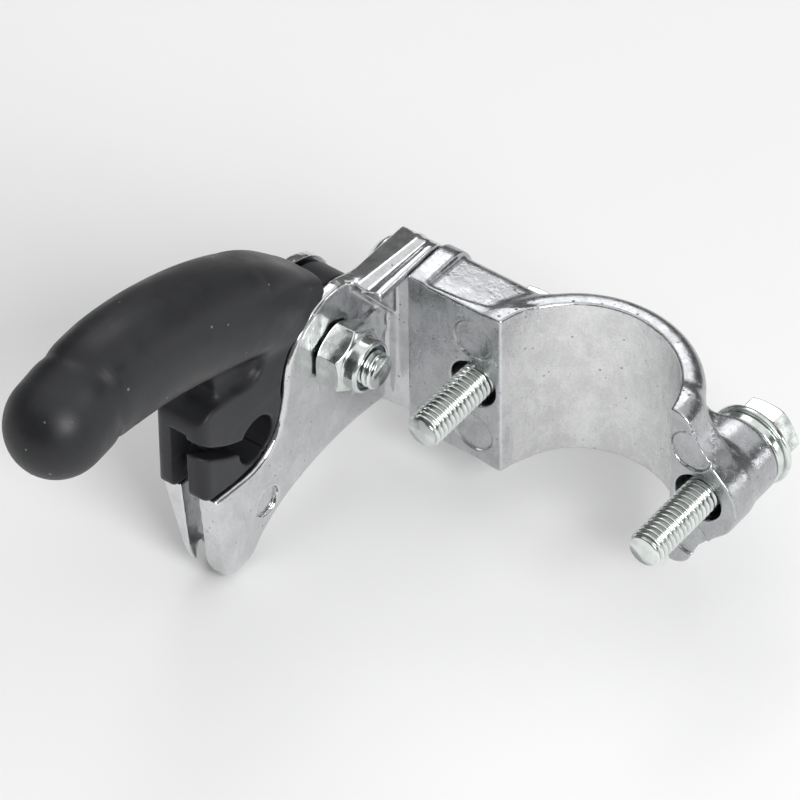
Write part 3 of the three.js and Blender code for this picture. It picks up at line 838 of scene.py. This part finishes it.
def through(stations, steps=12):
    """A smooth row of stations through the given ones."""
    padded = np.vstack([2 * stations[0] - stations[1], stations, 2 * stations[-1] - stations[-2]])
    rows = []
    for a, b, c, d in zip(padded, padded[1:], padded[2:], padded[3:]):
        for t in np.arange(steps) / steps:
            bend = 2 * a - 5 * b + 4 * c - d + t * (3 * (b - c) + d - a)
            rows.append(b + 0.5 * t * (c - a + t * bend))
    return np.vstack([rows, stations[-1]])


GRIP_PATH = through(GRIP)
NECK_DEPTH = 0.3
NECK_LENGTH = 1.2
NECK_FROM_END = 5.8
GRIP_ROOT_Y = -12.7


def grip_field(p):
    """The grip round its path: squarish at its root, rounder on its way to the ball end."""
    x, y, z = p
    shape = np.broadcast(y, z).shape
    best = np.full(shape, np.inf)
    rise, past, half, wide, travelled = (np.zeros(shape) for _ in range(5))
    run = 0.0
    for i, (a, b) in enumerate(zip(GRIP_PATH, GRIP_PATH[1:])):
        step = b[:2] - a[:2]
        length = np.hypot(*step)
        along = ((y - a[0]) * step[0] + (z - a[1]) * step[1]) / length
        low = -np.inf if i == 0 else 0.0
        high = np.inf if i == len(GRIP_PATH) - 2 else length
        held = np.clip(along, 0, length)
        side = ((y - a[0]) * step[1] - (z - a[1]) * step[0]) / length
        distance = side**2 + (along - held) ** 2
        closer = distance < best
        best = np.where(closer, distance, best)
        t = held / length
        rise = np.where(closer, side, rise)
        past = np.where(closer, np.clip(along, low, high) - held, past)
        half = np.where(closer, a[2] + (b[2] - a[2]) * t, half)
        wide = np.where(closer, a[3] + (b[3] - a[3]) * t, wide)
        travelled = np.where(closer, run + held, travelled)
        run += length
    neck = NECK_DEPTH * np.exp(-(((travelled - run + NECK_FROM_END) / NECK_LENGTH) ** 2))
    half = half - neck
    wide = wide - neck
    boxy = 2.0 + 0.5 * np.clip((run - travelled) / 12, 0, 1)
    boxy = boxy + 2.5 * np.clip(1 - travelled / 20, 0, 1)
    across = abs(x - FORK_MID_X) / wide
    round_part = (across**boxy + (abs(rise) / half) ** boxy) ** (2 / boxy) + (past / half) ** 2
    return (np.sqrt(round_part) - 1) * np.minimum(half, wide)


def block_outline():
    """The cable block and the grip's root, seen along the pivot."""
    return outline(
        (-36, -3.7),
        (-41.4, -2.8),
        (-43.2, -2.4, -43.2, -0.4),
        (-43.2, 11.0),
        (-43.2, 14.6, -40.2, 15.0),
        (-35, 14.2),
        (-27.4, 11.0, -27.2, 18.5),
        (-21, 20),
        (-12, 12),
        (-12, 0),
        (-23.7, 4),
        (-24.9, -3.9, -33, -3.7),
    )


def nipple_slot():
    """The keyhole's slot, from the nipple's bore out to the block's end."""
    y, z = NIPPLE
    return outline(
        (y, z - 1.65),
        (y, z + 1.65),
        (-37, 3.6, -46, 12.4),
        (-46, 9.2),
        (-36, 1.2, y, z - 1.65),
    )


def lever_field(p):
    x, y, z = p
    middle = (FORK_MID_X - HUB_HALF, FORK_MID_X + HUB_HALF)
    hub = rod(p, X, HUB_RADIUS, middle, PIVOT, 0.3)
    web_points = [(-13, 12), (-11.5, 16.9), (-20, 24), (-34, 30)]
    web_points += [(-42, 30), (-38, 20), (-36, 8), (-18, 8)]
    web = slab(p, X, web_points, middle, 0.3)
    cheek = slab(p, X, block_outline(), LEVER_X, 0.6)
    plan = block(p, LEVER_X, (-43.3, 10), (-30, 40), 2.4)
    cheek = common(cheek, plan, 0.3)
    shoulder = rod(p, X, EYE_RADIUS + 0.45, (-80, 0), PIVOT)
    cheek = carve(cheek, shoulder, 0.5)
    grip = common(grip_field(p), y - GRIP_ROOT_Y, 0.4)
    body = blend(cheek, carve(grip, shoulder, 0.5), 2.2)
    body = blend(body, web, 2.6)
    body = blend(body, hub, 0.6)
    outside_hub = common(shoulder, HUB_HALF + 0.02 - abs(x - FORK_MID_X), 0.05)
    body = carve(body, outside_hub, 0.3)
    body = carve(body, rod(p, X, NIPPLE_RADIUS, (LEVER_X[0] + 1.2, 0), NIPPLE), 0.35)
    body = carve(body, slab(p, X, nipple_slot(), (FORK_MID_X, 0)), 0.35)
    groove = (FORK_MID_X - 1.5, FORK_MID_X + 1.5)
    body = carve(body, block(p, groove, (-60, NIPPLE[0] - 2), (-20, 3)), 0.3)
    body = carve(body, block(p, groove, (-60, -38), (-20, 10.6)), 0.3)
    body = carve(body, rod(p, X, 3.95, (-60, 0), PIVOT), 0.1)
    seam = np.exp(-(((x - FORK_MID_X) / 0.16) ** 2)) * (y < -24) * (z > 4)
    return body - 0.035 * seam


# ---- Fasteners ----------------------------------------------------------------------------------
def flange_head(p, axis, under, centre):
    """A hexagon head with a sloping flange, from its underside along an axis."""
    u, v = [p[i] for i in range(3) if i != axis]
    r = np.hypot(u - centre[0], v - centre[1])
    h = p[axis] - under
    q = list(p)
    q[axis] = h
    hexagon = hexagonal(q, axis, M6_ACROSS, (0, M6_HEAD), centre)
    hexagon = common(hexagon, (r - 5.05 + (h - M6_HEAD) * 1.6) * 0.53, 0.15)
    dish = rod(q, axis, 3.1, (M6_HEAD - 0.35, M6_HEAD + 3), centre, 0.3)
    hexagon = carve(hexagon, dish, 0.4)
    flange = rod(q, axis, M6_FLANGE, (0, 2.2), centre, 0.3)
    flange = common(flange, (h - 1.2 + (r - 6.6) * 0.45) * 0.9, 0.35)
    return blend(hexagon, flange, 0.5)


def ring_field(p, axis, inner, outer, span, centre, r=0.22):
    """A washer or ring, with its outer edges rounded to r."""
    hole = rod(p, axis, inner, (span[0] - 5, span[1] + 5), centre)
    return carve(rod(p, axis, outer, span, centre, r), hole, 0.2)


def around(axis, span, centre, reach):
    """The two corners of a box round something turned about an axis."""
    spare = 0.6
    low = np.insert(np.array(centre, float) - reach - spare, axis, span[0] - spare)
    high = np.insert(np.array(centre, float) + reach + spare, axis, span[1] + spare)
    return low, high


def turned_mesh(name, field, axis, span, centre, reach, step):
    """A mesh of something turned about an axis."""
    low, high = around(axis, span, centre, reach)
    return cast_mesh(name, field, low, high, step, 0.3)


# ---- Settings -----------------------------------------------------------------------------------
def size(name, description, default):
    """A length that a user can change."""
    return bpy.props.FloatProperty(
        name=name,
        description=description,
        default=default,
        min=0.0,
        subtype="DISTANCE",
        unit="LENGTH",
        precision=5,
    )


def colour(name, description, default):
    """A colour that a user can change."""
    return bpy.props.FloatVectorProperty(
        name=name,
        description=description,
        default=default,
        size=3,
        min=0.0,
        max=1.0,
        subtype="COLOR",
    )


class HandLeverSizes(bpy.types.PropertyGroup):
    """Sizes of the finish that the CAD leaves out."""

    casting_step: size("Casting mesh", "Spacing of the mesh on the two castings", 0.3 * MM)
    lever_step: size("Lever mesh", "Spacing of the mesh on the moulded lever", 0.34 * MM)
    fastener_step: size("Fastener mesh", "Spacing of the mesh on the fasteners", 0.14 * MM)
    thread_pitch: size("Thread pitch", "Distance between two turns of the M6 threads", 1.0 * MM)
    thread_depth: size("Thread depth", "Height of a thread from root to crest", 0.45 * MM)


class HandLeverColours(bpy.types.PropertyGroup):
    """Colours of the finishes."""

    saddle: colour("Saddle alloy", "Tumbled cast aluminium of the saddle", (0.49, 0.5, 0.515))
    bore: colour("Bore", "Rougher and paler surface that grips the tube", (0.78, 0.78, 0.785))
    perch: colour("Perch alloy", "Polished cast aluminium of the perch", (0.70, 0.705, 0.715))
    zinc: colour("Zinc plate", "Bright zinc plate of the fasteners", (0.74, 0.78, 0.755))
    steel: colour("Plain steel", "Turned steel of the bush", (0.5, 0.5, 0.5))
    plastic: colour("Black plastic", "Satin moulded plastic of the lever", (0.0155, 0.016, 0.0185))
    nylon: colour("Nylon", "Locking ring in the nut", (0.10, 0.12, 0.14))
    floor: colour("Floor", "Plain pale floor", (0.96, 0.96, 0.96))


def settings():
    """The scene's sizes and colours."""
    scene = bpy.context.scene
    return scene.hand_lever_sizes, scene.hand_lever_colours


def coating(name, maker, *values):
    """A named material, made once."""
    return bpy.data.materials.get(name) or maker(name, *values)


def zinc_plate():
    """The plate on the bolts, the nut, the screws and the washers."""
    return coating("bright_zinc", plated_steel, settings()[1].zinc, 0.16)


def extent(node, axis):
    """Where a CAD node begins and ends along an axis, in millimetres."""
    low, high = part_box(node)
    return low[axis] / MM, high[axis] / MM


# ---- Operators ----------------------------------------------------------------------------------
class HANDLEVER_OT_saddle(bpy.types.Operator):
    """Builds the cast saddle: half ring, left lug with its rim, right lug with its boss"""

    bl_idname = "hand_lever.saddle"
    bl_label = "Saddle casting"

    def execute(self, context):
        sizes, colours = settings()
        metal = (colours.saddle, 0.27, 0.24, 0.06, colours.bore)
        material = coating("tumbled_aluminium", cast_metal, *metal)
        step = sizes.casting_step / MM
        low, high = (-34, -0.8, -16.8), (28.4, 18.2, 16.8)
        mesh = cast_mesh("saddle_body", saddle_field, low, high, step)
        piece("saddle_body", mesh, "frame", "saddle_alloy", material, "saddle_casting")
        return {"FINISHED"}


class HANDLEVER_OT_perch(bpy.types.Operator):
    """Builds the cast perch: fork with its eye and cable nose, plate, lip and gusset"""

    bl_idname = "hand_lever.perch"
    bl_label = "Perch casting"

    def execute(self, context):
        sizes, colours = settings()
        material = coating("polished_aluminium", cast_metal, colours.perch, 0.17, 0.18, 0.04)
        step = sizes.casting_step / MM
        low, high = (-50.8, -41.8, -25.2), (-32.6, 11, 18.9)
        mesh = cast_mesh("perch_body", perch_field, low, high, step)
        piece("perch_body", mesh, "frame", "perch_alloy", material, "perch_casting")
        return {"FINISHED"}


class HANDLEVER_OT_lever(bpy.types.Operator):
    """Builds the moulded lever: hub, cable block with its keyhole, and grip with its ball end"""

    bl_idname = "hand_lever.lever"
    bl_label = "Lever moulding"

    def execute(self, context):
        sizes, colours = settings()
        material = coating("satin_plastic", moulded_black, colours.plastic)
        step = sizes.lever_step / MM
        low, high = (-53.2, -80, -5), (-35.4, 0.4, 45)
        mesh = cast_mesh("lever_body", lever_field, low, high, step)
        piece("lever_body", mesh, "lever", "black_plastic", material, "lever_moulding")
        return {"FINISHED"}


class HANDLEVER_OT_clamp_bolts(bpy.types.Operator):
    """Builds the two threaded clamp bolts with their flanged heads and washers"""

    bl_idname = "hand_lever.clamp_bolts"
    bl_label = "Clamp bolts"

    def execute(self, context):
        for side, x in (("left", -BOLT_X), ("right", BOLT_X)):
            self.build(side, x)
        return {"FINISHED"}

    def build(self, side, x):
        zinc = zinc_plate()
        step = settings()[0].fastener_step / MM
        tip, top = extent(f"clamp_bolt_{side}", Y)
        under = top - M6_HEAD
        centre = (x, 0)

        def head_field(p):
            return flange_head(p, Y, under, centre)

        head = turned_mesh(f"head_{side}", head_field, Y, (under, top), centre, M6_FLANGE, step)
        head.materials.append(zinc)
        shank = threaded_mesh(f"shank_{side}", Y, (tip, under + 0.4), centre, zinc)
        bolt = joined(f"bolt_{side}", head, shank)
        piece(f"bolt_{side}", bolt, f"{side}_bolt", "zinc_steel", zinc, f"clamp_bolt_{side}")
        span = extent(f"clamp_washer_{side}", Y)

        def washer_field(p):
            return ring_field(p, Y, M6_RADIUS + 0.2, WASHER_OUTER, span, centre)

        name = f"washer_{side}"
        washer = turned_mesh(name, washer_field, Y, span, centre, WASHER_OUTER, step * 1.3)
        node = f"clamp_washer_{side}"
        piece(name, washer, f"{side}_washer", "zinc_steel", zinc, node)


class HANDLEVER_OT_pivot(bpy.types.Operator):
    """Builds the pivot bolt and its lock nut, and finishes the bush"""

    bl_idname = "hand_lever.pivot"
    bl_label = "Pivot"

    def execute(self, context):
        sizes, colours = settings()
        zinc = zinc_plate()
        step = sizes.fastener_step / MM
        head_top = extent("pivot_bolt", X)[0]
        under = FORK_FAR_X - 0.05

        def head_field(p):
            r = np.hypot(p[Y] - PIVOT[0], p[Z] - PIVOT[1])
            body = hexagonal(p, X, M6_ACROSS, (head_top, under), PIVOT)
            return common(body, (r - 5.0 - (p[X] - head_top) * 1.6) * 0.53, 0.15)

        head = turned_mesh("pivot_head", head_field, X, (head_top, under), PIVOT, 6, step)
        head.materials.append(zinc)
        shank = threaded_mesh("pivot_shank", X, (under - 0.4, PIVOT_TIP_X), PIVOT, zinc)
        bolt = joined("pivot_screw", head, shank)
        piece("pivot_screw", bolt, "frame", "zinc_steel", zinc, "pivot_bolt")

        seat, collar_top = extent("lock_nut", X)
        hex_top = collar_top - NUT_COLLAR

        def nut_field(p):
            r = np.hypot(p[Y] - PIVOT[0], p[Z] - PIVOT[1])
            body = hexagonal(p, X, M6_ACROSS, (seat, hex_top), PIVOT, 0.15, True)
            body = common(body, (r - 4.9 + (p[X] - hex_top) * 1.4) * 0.58, 0.12)
            body = common(body, (r - 5.1 - (p[X] - seat) * 1.6) * 0.53, 0.15)
            collar = rod(p, X, 4.4, (hex_top - 1, collar_top), PIVOT, 0.75)
            body = blend(body, collar, 0.5)
            bore = rod(p, X, M6_RADIUS + 0.12, (seat - 1, collar_top + 1), PIVOT)
            body = carve(body, bore, 0.1)
            return carve(body, rod(p, X, 3.75, (hex_top + 0.6, collar_top + 1), PIVOT), 0.25)

        nut = turned_mesh("nut", nut_field, X, (seat, collar_top), PIVOT, 6, step)
        piece("nut", nut, "frame", "zinc_steel", zinc, "lock_nut")

        span = extent("lock_nut_insert", X)
        nylon = coating("nylon_ring", moulded_nylon, colours.nylon)

        def insert_field(p):
            return ring_field(p, X, 3.05, 3.7, span, PIVOT, 0.1)

        ring = turned_mesh("nut_ring", insert_field, X, span, PIVOT, 4, step)
        piece("nut_ring", ring, "frame", "nylon", nylon, "lock_nut_insert")

        steel = coating("turned_steel", plated_steel, colours.steel, 0.3)
        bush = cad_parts["pivot_bush"]
        bush.data.materials.clear()
        bush.data.materials.append(steel)
        return {"FINISHED"}


class HANDLEVER_OT_perch_screws(bpy.types.Operator):
    """Builds the two socket screws and washers that hold the perch on the saddle"""

    bl_idname = "hand_lever.perch_screws"
    bl_label = "Perch screws"

    def execute(self, context):
        zinc = zinc_plate()
        step = settings()[0].fastener_step / MM * 1.3
        for place, z in (("upper", PERCH_SCREW_Z), ("lower", -PERCH_SCREW_Z)):
            centre = (PERCH_SCREW_Y, z)
            top, tip = extent(f"perch_screw_{place}", X)

            def screw_field(p):
                r = np.hypot(p[Y] - centre[0], p[Z] - centre[1])
                dome = np.hypot(r, p[X] - (top + SCREW_HEAD_DOME)) - SCREW_HEAD_DOME
                head = rod(p, X, SCREW_HEAD_RADIUS, (top, top + 2.75), centre, 0.25)
                head = common(head, dome, 0.3)
                socket = hexagonal(p, X, 3.0, (top - 2, top + 1.7), centre, 0.05)
                head = carve(head, socket, 0.15)
                shank = rod(p, X, 2.45, (top + 1, tip), centre, 0.5)
                return blend(head, shank, 0.15)

            name = f"screw_{place}"
            mesh = turned_mesh(name, screw_field, X, (top, tip), centre, SCREW_HEAD_RADIUS, step)
            piece(name, mesh, "frame", "zinc_steel", zinc, f"perch_screw_{place}")
            flat = extent(f"perch_washer_{place}", X)

            def washer_field(p):
                return ring_field(p, X, 2.65, SCREW_RING_OUTER, flat, centre)

            name = f"perch_ring_{place}"
            ring = turned_mesh(name, washer_field, X, flat, centre, SCREW_RING_OUTER, step)
            piece(name, ring, "frame", "zinc_steel", zinc, f"perch_washer_{place}")
        return {"FINISHED"}


# ---- Stage --------------------------------------------------------------------------------------
AZIMUTH = math.radians(37.198)
ELEVATION = math.radians(44.108)
ROLL = math.radians(-0.776)
CAMERA_DISTANCE = 1.2169
LENS = 360.77
AIM_RIGHT = -27.96 * MM
AIM_UP = 6.19 * MM
SENSOR = 36.0
FLOOR_REACH = 3.0
FLOOR_GAP = 0.2 * MM
ROOM_LIGHT = 0.16
# Name, place, width and length in metres, and power in watts. Each faces the origin.
SOFTBOXES = (
    ("overhead", (0.0, 0.15, 1.3), (2.6, 2.6), 16.0),
    ("key", (0.95, -0.45, 0.75), (0.6, 0.6), 11.0),
    ("back", (-0.47, 0.62, 0.76), (0.34, 0.34), 0.8),
    ("side", (1.05, 0.72, 0.2), (0.25, 0.3), 0.8),
)


class HANDLEVER_OT_stage(bpy.types.Operator):
    """Builds the floor, the soft lights and the camera"""

    bl_idname = "hand_lever.stage"
    bl_label = "Stage"

    def execute(self, context):
        self.floor(context.scene)
        self.lights(context.scene)
        self.camera(context.scene)
        return {"FINISHED"}

    def floor(self, scene):
        level = CAD_BOX[0][Z] - FLOOR_GAP
        signs = ((-1, -1), (1, -1), (1, 1), (-1, 1))
        corners = [(x * FLOOR_REACH, y * FLOOR_REACH, level) for x, y in signs]
        mesh = bpy.data.meshes.new("floor")
        mesh.from_pydata(corners, [], [(0, 1, 2, 3)])
        floor = bpy.data.objects.new("floor", mesh)
        scene.collection.objects.link(floor)
        s = Shader("pale_floor", Roughness=0.9)
        tone = s.noise(0.004, 2.0)
        plain = settings()[1].floor
        s.drive("Base Color", s.mix(tone, shade(plain, 0.99), shade(plain, 1.01)))
        mesh.materials.append(s.material)

    def lights(self, scene):
        world = bpy.data.worlds.new("soft_room")
        world.use_nodes = True
        background = world.node_tree.nodes["Background"].inputs
        background["Color"].default_value = (1.0, 1.0, 1.0, 1.0)
        background["Strength"].default_value = ROOM_LIGHT
        scene.world = world
        scene.view_settings.view_transform = "Standard"
        for softbox in SOFTBOXES:
            self.softbox(scene, *softbox)

    def softbox(self, scene, name, place, spread, power):
        data = bpy.data.lights.new(name, "AREA")
        data.shape = "RECTANGLE"
        data.size, data.size_y = spread
        data.energy = power
        light = bpy.data.objects.new(name, data)
        light.location = place
        light.rotation_euler = (-Vector(place)).to_track_quat("-Z", "Y").to_euler()
        scene.collection.objects.link(light)

    def camera(self, scene):
        back = Vector(
            (
                math.sin(AZIMUTH) * math.cos(ELEVATION),
                -math.cos(AZIMUTH) * math.cos(ELEVATION),
                math.sin(ELEVATION),
            )
        )
        level = Vector((math.cos(AZIMUTH), math.sin(AZIMUTH), 0))
        upright = back.cross(level)
        right = math.cos(ROLL) * level + math.sin(ROLL) * upright
        up = -math.sin(ROLL) * level + math.cos(ROLL) * upright
        data = bpy.data.cameras.new("camera")
        data.lens = LENS
        data.sensor_width = SENSOR
        data.clip_start = 0.05
        data.clip_end = 20.0
        camera = bpy.data.objects.new("camera", data)
        place = CAMERA_DISTANCE * back + AIM_RIGHT * right + AIM_UP * up
        camera.matrix_world = Matrix((right, up, back)).transposed().to_4x4()
        camera.location = place
        scene.collection.objects.link(camera)
        scene.camera = camera


OPERATORS = (
    HANDLEVER_OT_saddle,
    HANDLEVER_OT_perch,
    HANDLEVER_OT_lever,
    HANDLEVER_OT_clamp_bolts,
    HANDLEVER_OT_pivot,
    HANDLEVER_OT_perch_screws,
    HANDLEVER_OT_stage,
)


class HANDLEVER_PT_panel(bpy.types.Panel):
    """Lists the sizes, the colours and the steps"""

    bl_idname = "HANDLEVER_PT_panel"
    bl_label = "Hand lever"
    bl_space_type = "VIEW_3D"
    bl_region_type = "UI"
    bl_category = "Hand lever"

    def draw(self, context):
        for group in settings():
            column = self.layout.column()
            for name in group.__annotations__:
                column.prop(group, name)
        for operator in OPERATORS:
            self.layout.operator(operator.bl_idname)


CLASSES = (HandLeverSizes, HandLeverColours, *OPERATORS, HANDLEVER_PT_panel)


def register():
    for cls in CLASSES:
        bpy.utils.register_class(cls)
    bpy.types.Scene.hand_lever_sizes = bpy.props.PointerProperty(type=HandLeverSizes)
    bpy.types.Scene.hand_lever_colours = bpy.props.PointerProperty(type=HandLeverColours)


def unregister():
    del bpy.types.Scene.hand_lever_colours
    del bpy.types.Scene.hand_lever_sizes
    for cls in reversed(CLASSES):
        bpy.utils.unregister_class(cls)


def main():
    register()
    bpy.ops.hand_lever.saddle()
    bpy.ops.hand_lever.perch()
    bpy.ops.hand_lever.lever()
    bpy.ops.hand_lever.clamp_bolts()
    bpy.ops.hand_lever.pivot()
    bpy.ops.hand_lever.perch_screws()
    bpy.ops.hand_lever.stage()


if __name__ == "__main__":
    main()
